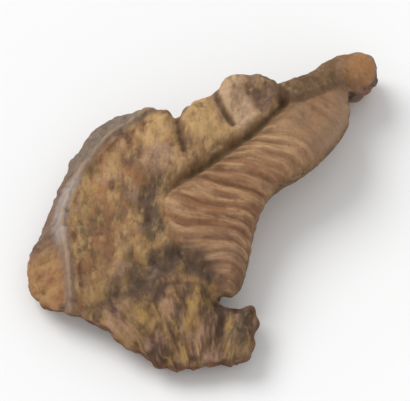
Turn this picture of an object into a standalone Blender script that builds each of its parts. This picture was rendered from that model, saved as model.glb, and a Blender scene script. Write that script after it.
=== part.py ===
"""Dried slippery jack mushroom: one lengthwise slice of half a cap with its stub of stem.

The slice grew and was cut as one piece, so it is one closed solid. It is drawn flat first, seen
square to the cut face, in millimetres: x runs to the right, y up the slice, z out of the cut
face. The relief is raised on the flat blank, then the slice is bent as drying bends it, laid
on its three low spots, and turned into metres.
"""

import math

import bpy
import numpy as np
from mathutils import Vector, noise

NAME = "mushroom_slice"
MM = 0.001

# Driving dimensions, in millimetres and degrees.
THICKNESS = 4.6          # of the slice where it is fullest
EDGE_ROUNDING = 1.1      # radius of the dried edge
BLANK_CELL = 0.22        # mesh size while the relief is raised
SOFTENING = 4            # smoothing passes over the blank
TRIANGLES = 10600        # of the finished solid
LEAN = 8.0               # the far side lies higher than the stem end
SIDE_STRETCH = 1.07      # the lines below were drawn 20 degrees off square to the cut face

# Relief of the cut faces: heights, depths and widths.
FACE_LEVELS = (0.35, 0.92)  # shares of half the thickness between which the relief fades in
BACK_SHARE = 0.5         # the hidden cut face has its deep forms at this share
FLESH_SINK = 0.45
FLESH_SINK_REACH = 3.0
GROOVE_DEPTH = 0.55      # the split between flesh and tubes
GROOVE_WIDTH = 0.45
GROOVE_OPENS = (10, 26)  # between these steps of its line, from the low end
HOLLOW_DEPTH = 0.8       # where the flesh has sunk beside the groove
HOLLOW_WIDTH = 1.4
LOBE_CREASE = 0.5        # creases between the lobes of flesh at the far edge
LOBE_CREASE_WIDTH = 0.4
LOBE_SWELL = 0.35
LOBE_WIDTH = 2.6
SKIN_RIDGE = 0.38        # the skin dries proud of the flesh
SKIN_RIDGE_WIDTH = 0.5
SKIN_FALL = 0.85         # slope of the outer skin beyond its ridge
SKIN_FALL_FAR = 0.35     # the same at the far side
SKIN_FALL_FADES = (-2.0, 4.0)  # how far up the slice one goes over into the other
SKIN_DROP = 2.0          # of the outer skin at most, down to the edge
TUBE_PITCH = 1.15        # from one rib of the tube layer to the next
TUBE_RELIEF = 0.13
TUBE_FADE_SIZE = 2.2     # lumps by which the ribs come and go
TUBE_CALM = 0.72         # share of the relief that the ribs lose at both ends of the layer
TUBE_CALM_REACH = 3.5    # from its lower end
TUBE_CROWN = 0.55
TUBE_CROWN_REACH = 2.6
TUBE_WANDER = 0.5        # in ribs
TUBE_WANDER_SIZE = 3.5
MARGIN_ROLL = 1.35       # height of the rolled cap margin
MARGIN_HALF_WIDTH = 2.15
MARGIN_BLEND = 0.9
STEM_SINK = 0.35         # of the stem below the cap's flesh
STEM_BLEND = 0.8
STEM_TRENCH = 0.8        # dark junction of stem and cap
STEM_TRENCH_WIDTH = 1.3
STEM_SPLIT_DEPTH = 0.55
STEM_SPLIT_WIDTH = 0.5
STEM_RELIEF = 0.6
FIBRE_SIZE = 1.2
FRAY_SIZE = 1.7
KNOB_SWELL = 0.55        # rounded top of the stem
KNOB_REACH = 2.4
KNOB_ARC = 0.13          # folds that arch over it
KNOB_ARC_PITCH = 1.8
KNOB_ARC_REACH = 3.6
KNOB_ARC_WANDER = 0.3    # in folds
KNOB_ARC_WANDER_SIZE = 2.0
SHRIVEL = 0.3            # uneven shrinkage all over
SHRIVEL_SIZE = 4.2
PUCKER_SIZE = 2.6

# Relief of the edge.
SKIN_WRINKLES = 0.3
SKIN_WRINKLE_SIZE = 2.0
TORN_RELIEF = 0.5
TORN_SIZE = 1.1
TORN_UPRIGHT = 0.4       # the torn lumps run up the wall
EDGE_REACH = 2.0
UNDERCUT = 0.32          # the near edges lean in under the cut face
UNDERCUT_LEVEL = 0.8     # from this height down

# Bends, in millimetres.
SKIN_CURL = 2.9          # the skin side curls down
SKIN_CURL_REACH = 6.5
SKIN_CURL_PLACE = (-14.0, 4.2)
SKIN_CURL_SPREAD = 7.5
MARGIN_DROOP = 4.4       # the margin bends down
MARGIN_DROOP_START = (7.0, 6.5)
MARGIN_DROOP_REACH = 14.0
BELLY = 0.8              # the middle of the slice arches up
BELLY_PLACE = (1.0, 4.7)
BELLY_SPREAD = 8.0
STEM_THINNING = 0.28     # share of its thickness that the stem's end has lost
STEM_THINNING_REACH = 3.5
END_SLANT = 0.6          # the tube layer's lower end is cut back underneath
END_LIFT = 0.4
END_SPREAD = 3.0

# Outline of the slice, clockwise from the lower left tip of the cap.
CURVE_STEPS = 6                  # from each drawn point to the next
STRETCHES = {
    "skin": [
        (-16.5, -8.1), (-16.6, -5.2), (-15.6, -1.8), (-14.4, 1.3), (-13.2, 4.3), (-11.3, 7.0),
        (-8.9, 8.3), (-6.4, 8.3), (-3.7, 7.8), (-2.6, 7.3), (-1.4, 8.5), (0.2, 9.1),
        (1.3, 9.9), (2.2, 10.9), (3.6, 11.4), (5.3, 11.4), (6.5, 10.9), (7.2, 10.3),
    ],
    "margin": [
        (8.4, 11.0), (10.0, 12.1), (11.5, 13.8), (13.2, 15.1), (15.1, 15.6), (16.3, 15.0),
        (16.4, 13.4), (15.7, 12.1), (14.6, 11.2), (13.5, 10.9),
    ],
    "pores": [
        (13.7, 9.2), (13.4, 7.4), (12.5, 5.5), (11.1, 3.8), (9.2, 2.3), (7.0, 1.0), (5.4, -0.7),
        (4.5, -3.0), (3.9, -5.8), (3.3, -7.9), (2.4, -8.9),
    ],
    "notch": [(1.5, -8.8), (1.0, -9.2), (1.6, -9.8), (3.0, -10.0), (4.1, -9.6), (4.6, -10.0)],
    "torn": [
        (4.6, -11.3), (4.4, -13.0), (3.8, -14.3), (2.6, -14.9), (0.9, -14.8), (-1.4, -15.1),
        (-3.8, -15.2), (-5.6, -14.2), (-7.9, -12.9), (-10.3, -11.3), (-12.6, -10.2),
        (-15.1, -9.5),
    ],
}

# Lines on the cut face.
SKIN_LINE = [
    (-12.6, -10.2), (-12.9, -6.0), (-13.5, -2.7), (-13.2, 0.0), (-12.2, 2.4), (-10.5, 4.7),
    (-8.5, 6.3), (-6.4, 7.2), (-4.0, 8.4),
]
GROOVE_LINE = [
    (-2.6, -4.9), (-3.8, -3.1), (-4.4, -1.4), (-3.8, 0.1), (-2.0, 1.3), (0.7, 2.8), (3.3, 4.6),
    (5.5, 6.4), (7.3, 8.2), (8.1, 10.6),
]
LOBE_LINES = [
    [(-2.6, 8.4), (-2.6, 6.4), (-2.1, 4.0)],
    [(0.7, 10.0), (1.3, 8.1), (2.5, 6.3)],
    [(4.3, 12.0), (4.1, 9.8), (4.9, 8.0)],
]
LOBE_CREASES = (1.0, 1.0, 0.3)   # how deep each of them is
MARGIN_LINE = [(8.5, 10.1), (10.5, 11.4), (12.7, 12.7), (15.0, 13.1)]
HOLLOW_LINE = [(-4.4, 1.1), (-5.3, 0.1), (-5.3, -1.3), (-4.7, -3.1)]
STEM_LINE = [
    (-12.5, -10.4), (-9.6, -9.3), (-7.2, -8.3), (-5.6, -6.8), (-3.4, -5.5), (-0.9, -6.0),
    (0.6, -7.6), (1.4, -9.2), (3.0, -9.6), (6.0, -9.4),
]
STEM_SPLIT = [(1.0, -9.7), (1.4, -10.9), (1.3, -12.4)]

# Points on the cut face.
TUBE_TURN = (5.8, 1.4)           # the tubes fan round this point at the margin
TUBE_AXIS = (0.66, 0.75)         # along the tube layer towards the margin
TUBE_TURN_RANGE = (1.5, 7.0)     # how far along that axis they turn
TUBE_TURN_SHIFT = 0.6            # keeps the ribs in step through the turn
TUBE_SLOPE = 0.22
FIBRE_MEET = (0.5, -22.0)        # the stem's fibres run towards this point
FIBRE_SPREAD = 12.0              # the fibres are at their true width this far from it
FIBRE_STRETCH = 0.4
KNOB = (-2.0, -10.4)
BAND_END = (2.6, -8.2)           # lower end of the tube layer, over the notch

# Where the slice touches what it lies on: place and reach.
FEET = [((-13.6, 3.6), 3.2), ((1.6, -13.2), 3.6), ((14.6, 13.2), 3.4)]
FOOT_FLAT = 0.3                  # how much of each low spot is worn flat
CLEARANCE = 0.45                 # height of the rest of the underside


def smoothstep(low, high, value):
    """Rise from 0 at low to 1 at high."""
    share = np.clip((value - low) / (high - low), 0.0, 1.0)
    return share * share * (3.0 - 2.0 * share)


def bell(distance, width):
    """1 at no distance, falling off over the width."""
    return np.exp(-((distance / width) ** 2))


def curve_through(points, steps, closed=False):
    """Points on a Catmull-Rom curve through the given points."""
    knots = np.array(points, dtype=float)
    if closed:
        knots = np.vstack([knots[-1], knots, knots[0], knots[1]])
    else:
        knots = np.vstack([2 * knots[0] - knots[1], knots, 2 * knots[-1] - knots[-2]])
    curve = []
    for a, b, c, d in zip(knots, knots[1:], knots[2:], knots[3:]):
        for step in range(steps):
            t = step / steps
            curve.append(
                0.5 * (2 * b + (c - a) * t + (2 * a - 5 * b + 4 * c - d) * t ** 2
                       + (3 * b - a - 3 * c + d) * t ** 3))
    if not closed:
        curve.append(knots[-2])
    return np.array(curve)


def drawn(points, closed=False):
    """A drawn line as a smooth curve, stretched to its true length up the slice."""
    curve = curve_through(points, CURVE_STEPS, closed)
    curve[:, 1] *= SIDE_STRETCH
    return curve


def place(point):
    """A drawn point at its true place."""
    return np.array([point[0], point[1] * SIDE_STRETCH])


def outline_curve():
    """The closed outline, and the same curve cut into its named stretches."""
    points = [point for stretch in STRETCHES.values() for point in stretch]
    outline = drawn(points, closed=True)
    pieces = {}
    start = 0
    for name, stretch in STRETCHES.items():
        end = start + len(stretch) * CURVE_STEPS
        pieces[name] = outline[np.arange(start, end + 1) % len(outline)]
        start = end
    return outline, pieces


def away_from(plan, point):
    """Distance of every point from a drawn point."""
    return np.linalg.norm(plan - place(point), axis=1)


def nearest(plan, line):
    """Distance to a line, the number of the nearest piece, and which side: left is positive."""
    best = np.full(len(plan), np.inf)
    piece = np.zeros(len(plan), dtype=int)
    side = np.ones(len(plan))
    for number, (start, end) in enumerate(zip(line[:-1], line[1:])):
        along = end - start
        offset = plan - start
        share = np.clip(offset @ along / (along @ along), 0.0, 1.0)
        gap = offset - share[:, None] * along
        distance = np.hypot(gap[:, 0], gap[:, 1])
        closer = distance < best
        best[closer] = distance[closer]
        piece[closer] = number
        turn = along[0] * offset[:, 1] - along[1] * offset[:, 0]
        side[closer] = np.sign(turn[closer])
    return best, piece, side


def lumps(points, size, seed):
    """Smooth noise between about -1 and 1, with lumps of the given size."""
    shift = Vector((seed * 17.3, seed * 5.9, seed * 11.1))
    return np.array([noise.noise(Vector(point) / size + shift) for point in points])


def creases(points, size, seed):
    """Noise with sharp valleys between rounded folds, even about 0."""
    return np.abs(lumps(points, size, seed)) * 1.8 - 0.4


def coordinates(mesh):
    """A mesh's points as rows of x, y, z."""
    flat = np.empty(len(mesh.vertices) * 3)
    mesh.vertices.foreach_get("co", flat)
    return flat.reshape(-1, 3)


def move_to(mesh, points):
    """Give a mesh's points new places."""
    mesh.vertices.foreach_set("co", points.ravel())
    mesh.update()


def evaluated(item):
    """The mesh of an object with its modifiers applied; the object itself is removed."""
    bpy.context.collection.objects.link(item)
    depsgraph = bpy.context.evaluated_depsgraph_get()
    mesh = bpy.data.meshes.new_from_object(item.evaluated_get(depsgraph))
    bpy.data.objects.remove(item)
    return mesh


def flat_blank():
    """The outline filled, extruded and rounded, as a mesh of even cells, in millimetres."""
    outline, _ = outline_curve()
    curve = bpy.data.curves.new("outline", "CURVE")
    curve.dimensions = "2D"
    curve.fill_mode = "BOTH"
    curve.bevel_depth = EDGE_ROUNDING
    curve.bevel_resolution = 4
    curve.offset = -EDGE_ROUNDING
    curve.extrude = THICKNESS / 2 - EDGE_ROUNDING
    spline = curve.splines.new("POLY")
    spline.points.add(len(outline) - 1)
    for spot, (x, y) in zip(spline.points, outline):
        spot.co = (x, y, 0.0, 1.0)
    spline.use_cyclic_u = True
    blank = bpy.data.objects.new("blank", curve)
    remesh = blank.modifiers.new("even cells", "REMESH")
    remesh.mode = "VOXEL"
    remesh.voxel_size = BLANK_CELL
    soften = blank.modifiers.new("soft edges", "SMOOTH")
    soften.factor = 0.5
    soften.iterations = SOFTENING
    return evaluated(blank)


class Anatomy:
    """What every point of the flat blank belongs to."""

    def __init__(self, points):
        self.points = points
        self.plan = points[:, :2]
        self.level = points[:, 2] / (THICKNESS / 2)
        self.top = smoothstep(*FACE_LEVELS, self.level)
        self.bottom = smoothstep(*FACE_LEVELS, -self.level)
        self.read_edge()
        self.read_lines()

    def read_edge(self):
        """Depth inside the outline and inside each stretch of it, and the way out."""
        outline, pieces = outline_curve()
        closed = np.vstack([outline, outline[:1]])
        self.depth, piece, _ = nearest(self.plan, closed)
        along = np.diff(closed, axis=0)
        along = sum(np.roll(along, shift, axis=0) for shift in (-3, -2, -1, 0, 1, 2, 3))
        along /= np.linalg.norm(along, axis=1)[:, None]
        self.outward = np.stack([-along[piece, 1], along[piece, 0]], axis=1)
        self.edge = {name: nearest(self.plan, line)[0] for name, line in pieces.items()}

    def read_lines(self):
        """Distances to the lines on the cut face, and the regions between them."""
        self.skin_gap, _, skin_side = nearest(self.plan, drawn(SKIN_LINE))
        self.beyond_skin = np.where(skin_side > 0, self.skin_gap, 0.0)
        self.groove_gap, piece, groove_side = nearest(self.plan, drawn(GROOVE_LINE))
        self.stem_gap, _, stem_side = nearest(self.plan, drawn(STEM_LINE))
        self.split_gap = nearest(self.plan, drawn(STEM_SPLIT))[0]
        gaps = np.array([nearest(self.plan, drawn(line))[0] for line in LOBE_LINES])
        self.lobe_gap = gaps.min(axis=0)
        self.creased = np.array(LOBE_CREASES) @ bell(gaps, LOBE_CREASE_WIDTH)
        self.hollow_gap = nearest(self.plan, drawn(HOLLOW_LINE))[0]
        self.margin_gap = nearest(self.plan, drawn(MARGIN_LINE))[0]
        self.margin = smoothstep(0.0, MARGIN_BLEND, MARGIN_HALF_WIDTH - self.margin_gap)
        self.stem = smoothstep(-STEM_BLEND, STEM_BLEND, -stem_side * self.stem_gap)
        right_of_groove = smoothstep(-0.1, 0.7, -groove_side * self.groove_gap)
        self.tubes = right_of_groove * (1.0 - self.stem) * (1.0 - self.margin)
        self.flesh = (1.0 - self.tubes) * (1.0 - self.stem) * (1.0 - self.margin)
        open_groove = smoothstep(*GROOVE_OPENS, piece)
        self.groove = bell(self.groove_gap, GROOVE_WIDTH) * open_groove * (1.0 - self.margin)


def tube_turn(plan):
    """Where every point lies seen from the tubes' turn, and the share of the arcs there."""
    offset = plan - place(TUBE_TURN)
    return offset, smoothstep(*TUBE_TURN_RANGE, offset @ np.array(TUBE_AXIS))


def tube_phase(plan):
    """Which tube a point lies in: straight across low down, in arcs round the cap margin."""
    offset, arcs = tube_turn(plan)
    straight = offset[:, 1] + TUBE_SLOPE * offset[:, 0]
    in_arcs = np.linalg.norm(offset, axis=1) - TUBE_TURN_SHIFT
    return ((1.0 - arcs) * straight + arcs * in_arcs) / TUBE_PITCH


def tube_waves(anatomy):
    """The tube number of every point, with the ribs' wandering."""
    return tube_phase(anatomy.plan) + TUBE_WANDER * lumps(anatomy.points, TUBE_WANDER_SIZE, 3)


def tube_ribs(anatomy):
    """Ribs of the cut tubes, from -1 in a gap to 1 on a rib; uneven, and calm at both ends."""
    wave = np.cos(2 * math.pi * tube_waves(anatomy))
    strength = np.clip(0.7 + 1.3 * lumps(anatomy.points, TUBE_FADE_SIZE, 4), 0.1, None)
    low_end = bell(away_from(anatomy.plan, BAND_END), TUBE_CALM_REACH)
    calm = np.maximum(tube_turn(anatomy.plan)[1], low_end)
    return wave * strength * (1.0 - TUBE_CALM * calm) * anatomy.tubes


def along_fibres(anatomy):
    """Coordinates in the stem that change fast across its fibres and slowly along them."""
    offset = anatomy.plan - place(FIBRE_MEET)
    across = np.arctan2(offset[:, 0], offset[:, 1]) * FIBRE_SPREAD
    along = np.linalg.norm(offset, axis=1) * FIBRE_STRETCH
    return np.stack([across, along, anatomy.points[:, 2] * FIBRE_STRETCH], axis=1)


def flesh_height(anatomy, depth):
    """The cap's flesh: sunk between skin and groove, hollowed, and creased into lobes."""
    inland = smoothstep(0.3, FLESH_SINK_REACH, anatomy.depth)
    from_skin = smoothstep(0.4, FLESH_SINK_REACH, anatomy.skin_gap)
    height = -FLESH_SINK * anatomy.flesh * inland * from_skin
    height -= depth * GROOVE_DEPTH * anatomy.groove
    hollow = bell(anatomy.hollow_gap, HOLLOW_WIDTH)
    height -= depth * HOLLOW_DEPTH * hollow * (1.0 - anatomy.tubes)
    height -= depth * LOBE_CREASE * anatomy.creased * anatomy.flesh
    swell = smoothstep(0.3, 1.6, anatomy.lobe_gap) * bell(anatomy.lobe_gap, LOBE_WIDTH)
    return height + LOBE_SWELL * anatomy.flesh * swell


def skin_height(anatomy):
    """The skin's raised edge."""
    return SKIN_RIDGE * bell(anatomy.skin_gap, SKIN_RIDGE_WIDTH)


def skin_fall(anatomy):
    """How much lower the outer skin lies beyond its ridge; less at the far side."""
    far = smoothstep(*SKIN_FALL_FADES, anatomy.plan[:, 1])
    slope = SKIN_FALL * (1.0 - far) + SKIN_FALL_FAR * far
    return np.minimum(slope * anatomy.beyond_skin, SKIN_DROP)


def tube_height(anatomy, ribs):
    """The tube layer: crowned across, and ribbed along its tubes."""
    inside = np.minimum(anatomy.groove_gap, 1.6 * anatomy.depth)
    crown = TUBE_CROWN * anatomy.tubes * smoothstep(0.0, TUBE_CROWN_REACH, inside)
    return crown + TUBE_RELIEF * ribs * smoothstep(0.2, 1.2, anatomy.groove_gap)


def margin_height(anatomy, depth):
    """The cap margin, rolled over the end of the tube layer."""
    across = np.clip(anatomy.margin_gap / MARGIN_HALF_WIDTH, 0.0, 1.0)
    return depth * MARGIN_ROLL * np.sqrt(1.0 - across ** 2) * anatomy.margin


def knob_arcs(anatomy):
    """Uneven folds that arch over the top of the stem, from -1 between them to 1 on them."""
    away = away_from(anatomy.plan, KNOB)
    above = smoothstep(0.0, 1.6, anatomy.plan[:, 1] - place(KNOB)[1])
    wander = KNOB_ARC_WANDER * lumps(anatomy.points, KNOB_ARC_WANDER_SIZE, 8)
    wave = np.cos(2 * math.pi * (away / KNOB_ARC_PITCH + wander))
    return wave * bell(away, KNOB_ARC_REACH) * above


def knob_height(anatomy):
    """The rounded top of the stem, and the folds that arch over it."""
    knob = bell(away_from(anatomy.plan, KNOB), KNOB_REACH)
    return KNOB_SWELL * knob + KNOB_ARC * knob_arcs(anatomy)


def stem_height(anatomy, depth):
    """The stem: sunk behind a trench, split in two, and torn along its fibres."""
    height = -STEM_SINK * anatomy.stem
    trench = bell(anatomy.stem_gap, STEM_TRENCH_WIDTH) * (1.0 - 0.5 * anatomy.tubes)
    height -= depth * STEM_TRENCH * trench
    split = bell(anatomy.split_gap, STEM_SPLIT_WIDTH) * anatomy.stem
    height -= depth * STEM_SPLIT_DEPTH * split
    height += depth * knob_height(anatomy) * anatomy.stem
    fibres = lumps(along_fibres(anatomy), FIBRE_SIZE, 5) + lumps(anatomy.points, FRAY_SIZE, 6)
    return height + 0.7 * STEM_RELIEF * fibres * anatomy.stem


def shrivelled(anatomy, seed):
    """Uneven shrinkage: long waves all over, and creases in the flesh."""
    puckers = creases(anatomy.points, PUCKER_SIZE, seed + 1)
    puckers += 0.5 * creases(anatomy.points, PUCKER_SIZE / 2, seed + 2)
    return SHRIVEL * (lumps(anatomy.points, SHRIVEL_SIZE, seed) + puckers * anatomy.flesh)


def cut_face(anatomy, ribs, depth, seed):
    """Height of a cut face over the plain blank; depth scales its deep forms."""
    height = flesh_height(anatomy, depth) + skin_height(anatomy)
    height += tube_height(anatomy, ribs) + margin_height(anatomy, depth)
    return height + stem_height(anatomy, depth) + shrivelled(anatomy, seed)


def edge_bulge(anatomy, ribs):
    """How far the edge stands out: skin wrinkles, tube mouths and the torn stem end."""
    near = {name: smoothstep(EDGE_REACH, 0.0, gap) for name, gap in anatomy.edge.items()}
    skin = np.maximum(near["skin"], near["margin"])
    bulge = SKIN_WRINKLES * creases(anatomy.points, SKIN_WRINKLE_SIZE, 31) * skin
    bulge += 0.5 * TUBE_RELIEF * ribs * near["pores"]
    upright = anatomy.points * (1.0, 1.0, TORN_UPRIGHT)
    return bulge + TORN_RELIEF * lumps(upright, TORN_SIZE, 33) * near["torn"] * (1.0 - skin)


def raise_relief(anatomy):
    """The flat slice with its relief, in millimetres."""
    ribs = tube_ribs(anatomy)
    points = anatomy.points.copy()
    points[:, 2] += anatomy.top * cut_face(anatomy, ribs, 1.0, 7)
    points[:, 2] -= anatomy.bottom * cut_face(anatomy, ribs, BACK_SHARE, 11)
    points[:, 2] -= (1.0 + anatomy.level) / 2 * skin_fall(anatomy)
    points[:, :2] += anatomy.outward * edge_bulge(anatomy, ribs)[:, None]
    return points


def middle_height(anatomy):
    """Height of the middle of the slice: leaning, arched, and curled down at skin and margin."""
    plan = anatomy.plan
    height = math.tan(math.radians(LEAN)) * plan[:, 1]
    curl = smoothstep(SKIN_CURL_REACH, 0.0, anatomy.depth)
    height -= SKIN_CURL * curl * bell(away_from(plan, SKIN_CURL_PLACE), SKIN_CURL_SPREAD)
    out = (plan - place(MARGIN_DROOP_START)) @ np.array(TUBE_AXIS)
    height -= MARGIN_DROOP * smoothstep(0.0, MARGIN_DROOP_REACH, out)
    return height + BELLY * bell(away_from(plan, BELLY_PLACE), BELLY_SPREAD)


def bend(points, anatomy):
    """The slice as drying bends it, with its near edge leaning in underneath."""
    torn = smoothstep(STEM_THINNING_REACH, 0.0, anatomy.edge["torn"])
    bent = points.copy()
    bent[:, 2] = middle_height(anatomy) + points[:, 2] * (1.0 - STEM_THINNING * torn)
    under = np.clip(UNDERCUT_LEVEL - points[:, 2], 0.0, None)
    end = bell(away_from(anatomy.plan, BAND_END), END_SPREAD)
    end *= smoothstep(0.8, 0.2, anatomy.stem)
    faces_near = smoothstep(-0.1, 0.6, -anatomy.outward[:, 1])
    by_notch = smoothstep(0.0, 2.5, anatomy.edge["notch"])
    lean_in = faces_near * by_notch * smoothstep(EDGE_REACH, 0.0, anatomy.depth)
    bent[:, :2] -= anatomy.outward * (UNDERCUT * under * lean_in * (1.0 - end))[:, None]
    bent[:, 1] += END_SLANT * under * end
    bent[:, 2] += END_LIFT * under * end
    return bent


def lay_down(points, anatomy):
    """Lower the slice onto its three low spots, and keep the rest of the underside clear."""
    low = []
    reach = np.zeros(len(points))
    for centre, radius in FEET:
        away = away_from(anatomy.plan, centre)
        near = np.where(away < radius)[0]
        low.append(points[near[np.argmin(points[near, 2])]])
        reach = np.maximum(reach, smoothstep(radius, 0.6 * radius, away))
    normal = np.cross(low[1] - low[0], low[2] - low[0])
    ground = low[0][2] - ((points[:, :2] - low[0][:2]) @ normal[:2]) / normal[2]
    laid = points.copy()
    laid[:, 2] -= ground + FOOT_FLAT
    lowest = CLEARANCE * (1.0 - reach) - FOOT_FLAT * reach
    laid[:, 2] = np.maximum(laid[:, 2], lowest)
    return laid


def fewer_faces(mesh):
    """The same shape with the number of triangles that the solid may have."""
    fine = bpy.data.objects.new("fine", mesh)
    thin = fine.modifiers.new("fewer faces", "DECIMATE")
    thin.ratio = TRIANGLES / (2 * len(mesh.polygons))
    thin.use_collapse_triangulate = True
    return evaluated(fine)


def stood(points):
    """Low spots cut level with the floor, and the bounding box centred over the origin."""
    low, high = points.min(axis=0), points.max(axis=0)
    centred = points - np.array([(low[0] + high[0]) / 2, (low[1] + high[1]) / 2, 0.0])
    centred[:, 2] = np.maximum(centred[:, 2], 0.0)
    return centred


def dried_flesh():
    """The material of the whole slice: matte tan brown."""
    material = bpy.data.materials.new("dried_flesh")
    material.use_nodes = True
    shader = material.node_tree.nodes["Principled BSDF"]
    shader.inputs["Base Color"].default_value = (0.30, 0.19, 0.10, 1.0)
    shader.inputs["Roughness"].default_value = 0.85
    shader.inputs["Metallic"].default_value = 0.0
    return material


def mushroom_slice():
    """The whole slice as one object."""
    fine = flat_blank()
    anatomy = Anatomy(coordinates(fine))
    move_to(fine, lay_down(bend(raise_relief(anatomy), anatomy), anatomy))
    mesh = fewer_faces(fine)
    move_to(mesh, stood(coordinates(mesh)) * MM)
    mesh.name = NAME
    mesh.materials.clear()
    mesh.materials.append(dried_flesh())
    mesh.shade_smooth()
    bpy.context.collection.objects.link(bpy.data.objects.new(NAME, mesh))


def clear_scene():
    """Start from an empty scene."""
    for item in list(bpy.data.objects):
        bpy.data.objects.remove(item, do_unlink=True)


clear_scene()
mushroom_slice()
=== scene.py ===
"""Looks of the dried slippery jack mushroom slice: fine mesh, material, light and camera.

The slice is drawn and bent by the same formulas as the solid that it replaces, on finer cells, and
then gets its fine relief. Lengths are millimetres until the mesh is fitted into the solid's box.
"""

import math

import bpy
import numpy as np
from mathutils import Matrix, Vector, noise


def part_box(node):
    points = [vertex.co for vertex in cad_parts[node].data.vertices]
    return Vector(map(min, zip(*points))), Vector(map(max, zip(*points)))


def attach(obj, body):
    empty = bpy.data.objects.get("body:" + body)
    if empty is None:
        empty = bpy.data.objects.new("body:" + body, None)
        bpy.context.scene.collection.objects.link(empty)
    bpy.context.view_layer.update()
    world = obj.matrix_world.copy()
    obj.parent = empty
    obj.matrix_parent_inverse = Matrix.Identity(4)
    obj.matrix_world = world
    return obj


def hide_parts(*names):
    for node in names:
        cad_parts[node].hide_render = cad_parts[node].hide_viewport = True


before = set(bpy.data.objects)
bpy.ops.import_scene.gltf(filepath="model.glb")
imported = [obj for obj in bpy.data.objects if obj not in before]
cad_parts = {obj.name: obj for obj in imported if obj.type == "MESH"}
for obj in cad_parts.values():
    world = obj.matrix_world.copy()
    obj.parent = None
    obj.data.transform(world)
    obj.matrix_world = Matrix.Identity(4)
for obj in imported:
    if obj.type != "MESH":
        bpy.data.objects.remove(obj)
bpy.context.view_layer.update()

NODE = "mushroom_slice"
PIECE = "mushroom_slice_flesh"
MM = 0.001

# Driving dimensions, in millimetres and degrees, as in the solid.
THICKNESS = 4.6
EDGE_ROUNDING = 1.1
FINE_CELL = 0.135        # mesh size
SOFTENING = 11           # smoothing passes over the blank
LEAN = 8.0
SIDE_STRETCH = 1.07

# Relief of the cut faces, as in the solid.
FACE_LEVELS = (0.35, 0.92)
BACK_SHARE = 0.5
FLESH_SINK = 0.45
FLESH_SINK_REACH = 3.0
GROOVE_DEPTH = 0.55
GROOVE_WIDTH = 0.45
GROOVE_OPENS = (10, 26)
HOLLOW_DEPTH = 0.8
HOLLOW_WIDTH = 1.4
LOBE_CREASE = 0.5
LOBE_CREASE_WIDTH = 0.4
LOBE_SWELL = 0.35
LOBE_WIDTH = 2.6
SKIN_RIDGE = 0.38
SKIN_RIDGE_WIDTH = 0.5
SKIN_FALL = 0.85
SKIN_FALL_FAR = 0.35
SKIN_FALL_FADES = (-2.0, 4.0)
SKIN_DROP = 2.0
TUBE_PITCH = 1.15
TUBE_RELIEF = 0.13
TUBE_FADE_SIZE = 2.2
TUBE_CALM = 0.72
TUBE_CALM_REACH = 3.5
TUBE_CROWN = 0.55
TUBE_CROWN_REACH = 2.6
TUBE_WANDER = 0.5
TUBE_WANDER_SIZE = 3.5
MARGIN_ROLL = 1.35
MARGIN_HALF_WIDTH = 2.15
MARGIN_BLEND = 0.9
STEM_SINK = 0.35
STEM_BLEND = 0.8
STEM_TRENCH = 0.8
STEM_TRENCH_WIDTH = 1.3
STEM_SPLIT_DEPTH = 0.55
STEM_SPLIT_WIDTH = 0.5
STEM_RELIEF = 0.6
FIBRE_SIZE = 1.2
FRAY_SIZE = 1.7
KNOB_SWELL = 0.55
KNOB_REACH = 2.4
KNOB_ARC = 0.13
KNOB_ARC_PITCH = 1.8
KNOB_ARC_REACH = 3.6
KNOB_ARC_WANDER = 0.3
KNOB_ARC_WANDER_SIZE = 2.0
SHRIVEL = 0.3
SHRIVEL_SIZE = 4.2
PUCKER_SIZE = 2.6

# Relief of the edge, as in the solid.
SKIN_WRINKLES = 0.3
SKIN_WRINKLE_SIZE = 2.0
TORN_RELIEF = 0.5
TORN_SIZE = 1.1
TORN_UPRIGHT = 0.4
EDGE_REACH = 2.0
UNDERCUT = 0.32
UNDERCUT_LEVEL = 0.8

# Bends, as in the solid.
SKIN_CURL = 2.9
SKIN_CURL_REACH = 6.5
SKIN_CURL_PLACE = (-14.0, 4.2)
SKIN_CURL_SPREAD = 7.5
MARGIN_DROOP = 4.4
MARGIN_DROOP_START = (7.0, 6.5)
MARGIN_DROOP_REACH = 14.0
BELLY = 0.8
BELLY_PLACE = (1.0, 4.7)
BELLY_SPREAD = 8.0
STEM_THINNING = 0.28
STEM_THINNING_REACH = 3.5
END_SLANT = 0.6
END_LIFT = 0.4
END_SPREAD = 3.0

# Fine relief, which only this piece has.
FOLD_DEPTH = 0.11        # folds of the dried flesh
FOLD_SIZE = 1.0
FOLD_STRETCH = 0.5       # they run up the slice
PIT_DEPTH = 0.1
PIT_SIZE = 0.9
TUBE_LINE_DEPTH = 0.05   # split lines between the tubes
TUBE_FINE_DEPTH = 0.03   # half-width tubes between the ribs
TUBE_STRANDS = 0.06      # torn strands along the tubes
WRINKLE_DEPTH = 0.13     # of the cap skin
WRINKLE_SIZE = 1.0
PORE_DEPTH = 0.2         # tube mouths at the edge
PORE_SIZE = 0.62
FIBRE_DEPTH = 0.13       # of the stem
FIBRE_WIDTH = 0.55
FRAY_WIDTH = 0.9
SKIN_LIP = 0.08          # the cut edge of the skin
SKIN_LIP_WIDTH = 0.24
TUBE_STRETCH = 0.22      # scale of the noise along the tubes
CALM_PASSES = 10         # smoothing passes under the edge and at its sharp tip
SHARP_TIP = ((-15.6, -8.8), 1.6)
PIT_PASSES = 6           # smoothing passes that show how deep a pit lies
VALLEY_PASSES = 60       # the same for a broad valley

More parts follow.
